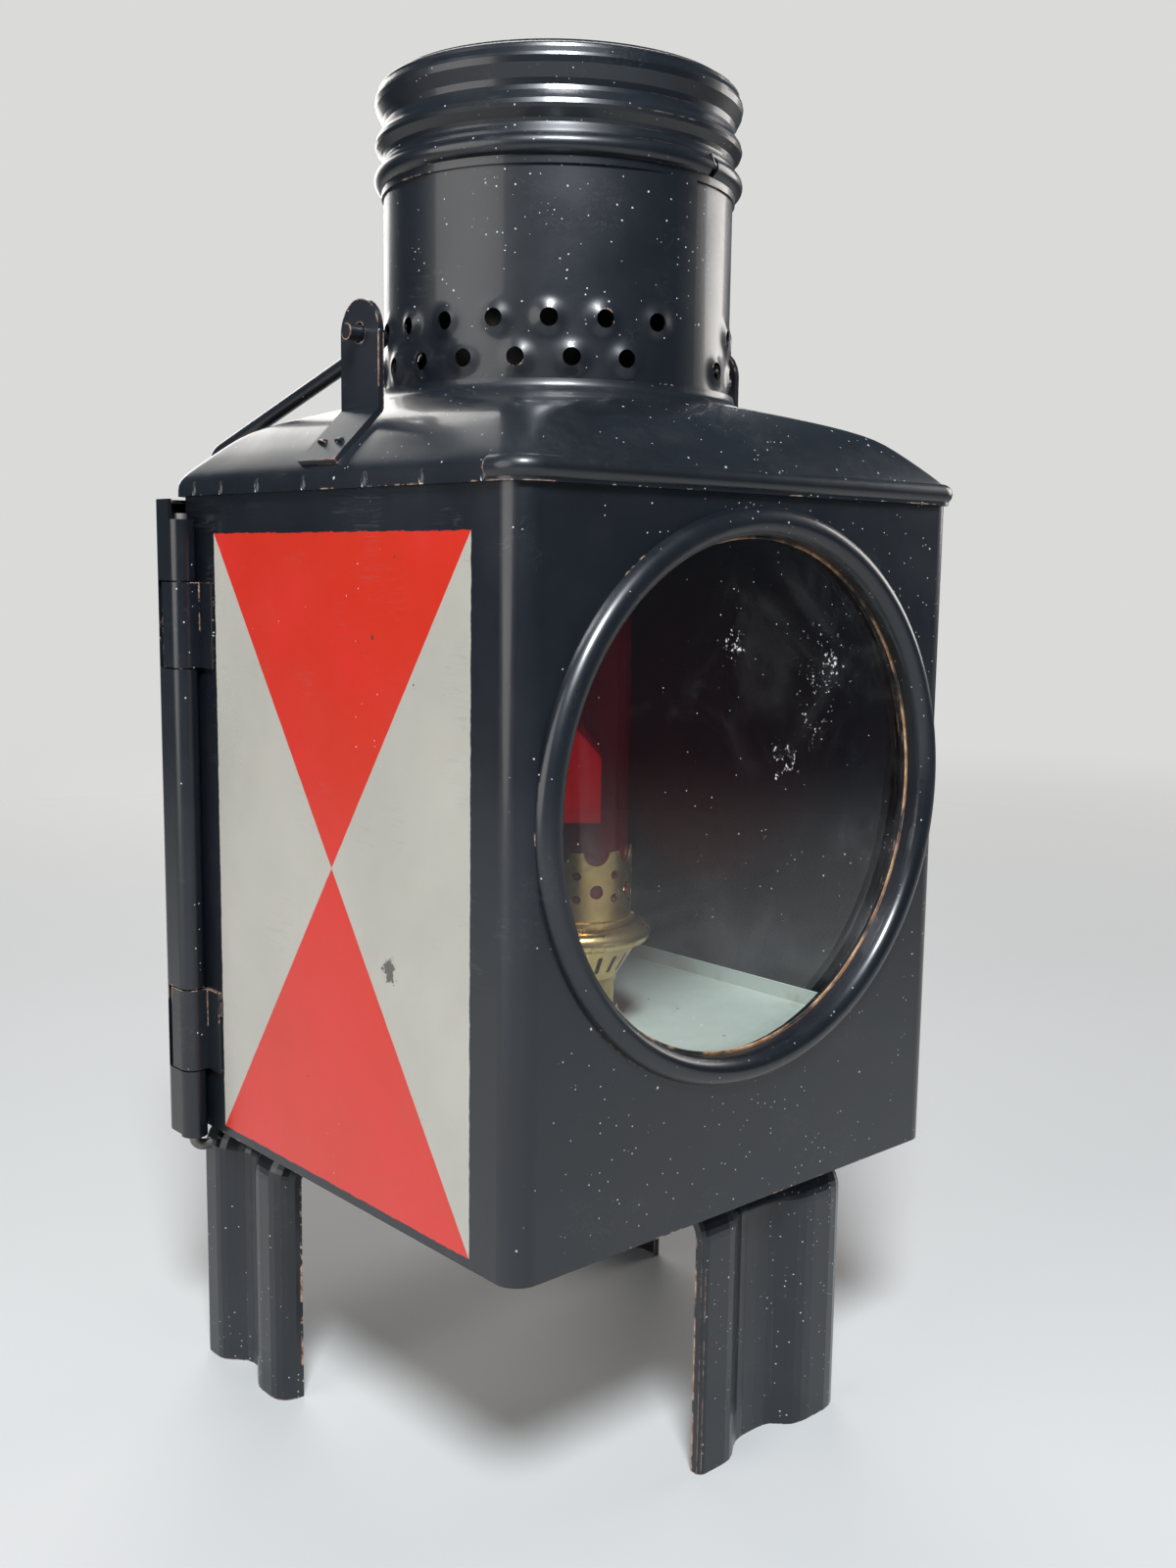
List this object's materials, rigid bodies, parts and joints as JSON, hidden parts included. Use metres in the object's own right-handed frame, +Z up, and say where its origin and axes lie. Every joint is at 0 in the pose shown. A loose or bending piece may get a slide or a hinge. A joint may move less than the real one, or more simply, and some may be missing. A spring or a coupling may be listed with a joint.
{
  "type": "railway side lamp",
  "caption": "Square black sheet-metal oil lantern with round front and door windows, painted day signs, vented round chimney, wire bail and pressed sheet feet",
  "frame": {"origin": "middle of the overall outline at ground level, under the feet", "axes": "+Z up, the front window faces -Y, the hinged door is at +Y, the bail pivots along X"},
  "size_m": [0.205, 0.2258, 0.4481],
  "materials": {
    "casing": "glossy black paint with red and cream day signs on both sides",
    "floor_plate": "dark painted sheet",
    "roof": "glossy black paint, dusty",
    "chimney_tube": "glossy black paint, dusty",
    "cap": "glossy black paint",
    "cap_band": "glossy black paint",
    "lug_left": "black paint",
    "lug_right": "black paint",
    "bail": "black paint, worn",
    "foot_front": "black paint, rust chips on the edges",
    "foot_left": "black paint, rust chips on the edges",
    "foot_right": "black paint, rust chips on the edges",
    "hinge_straps": "black paint",
    "door": "glossy black paint",
    "door_knob": "black paint, worn",
    "front_glass_ring": "dark painted steel",
    "front_ring_tabs": "dark painted steel",
    "door_glass_ring": "dark painted steel",
    "door_ring_tabs": "dark painted steel",
    "font": "pale grey-green paint, dusty",
    "smoke_pipe": "sooty bare sheet steel",
    "hinge_rod": "bare steel, dulled",
    "door_spring": "spring steel, dulled",
    "front_glass": "clear glass, dusty",
    "door_glass": "ruby glass",
    "lamp_chimney": "ruby glass",
    "wick": "woven cotton, charred at the top",
    "burner_collar": "tarnished brass",
    "air_basket": "tarnished brass",
    "gallery": "tarnished brass",
    "wick_tube": "tarnished brass",
    "wick_spindle": "tarnished brass",
    "wick_knob": "tarnished brass",
    "filler_cap": "tarnished brass"
  },
  "bodies": {
    "case": {"casing": "casing", "floor_plate": "floor_plate", "roof": "roof", "chimney_tube": "chimney_tube", "smoke_pipe": "smoke_pipe", "cap": "cap", "cap_band": "cap_band", "lug_left": "lug_left", "lug_right": "lug_right", "front_glass": "front_glass", "front_glass_ring": "front_glass_ring", "front_ring_tabs": "front_ring_tabs", "foot_front": "foot_front", "foot_left": "foot_left", "foot_right": "foot_right", "hinge_straps": "hinge_straps", "hinge_rod": "hinge_rod", "door_spring": "door_spring", "font": "font", "burner_collar": "burner_collar", "air_basket": "air_basket", "gallery": "gallery", "wick_tube": "wick_tube", "lamp_chimney": "lamp_chimney"},
    "rear_door": {"door": "door", "door_glass": "door_glass", "door_glass_ring": "door_glass_ring", "door_ring_tabs": "door_ring_tabs", "door_knob": "door_knob"},
    "bail_wire": {"bail": "bail"},
    "filler": {"filler_cap": "filler_cap"},
    "wick_shaft": {"wick_spindle": "wick_spindle", "wick_knob": "wick_knob"},
    "wick_sleeve": {"wick": "wick"}
  },
  "joints": [
    {"name": "door_hinge", "type": "hinge", "parent": "case", "child": "rear_door", "pos_m": [-0.09792, 0.06542, 0.2], "axis": [0, 0, 1], "range_deg": [0, 110]},
    {"name": "bail_pivot", "type": "hinge", "parent": "case", "child": "bail_wire", "pos_m": [0.00202, -0.01258, 0.3597], "axis": [1, 0, 0], "range_deg": [0, 208]},
    {"name": "filler_cap_turn", "type": "hinge", "parent": "case", "child": "filler", "pos_m": [-0.05298, 0.02142, 0.1342], "axis": [0, 0, 1], "range_deg": [0, 360]},
    {"name": "wick_knob_turn", "type": "hinge", "parent": "case", "child": "wick_shaft", "pos_m": [-0.01798, -0.01768, 0.1422], "axis": [-1, 0, 0], "range_deg": [0, 122.8]},
    {"name": "wick_rise", "type": "slide", "parent": "case", "child": "wick_sleeve", "axis": [0, 0, 1], "range_m": [0, 0.006]}
  ],
  "couplings": [
    {"joint": "wick_knob_turn", "follows": "wick_rise", "rad_per_m": 357}
  ]
}
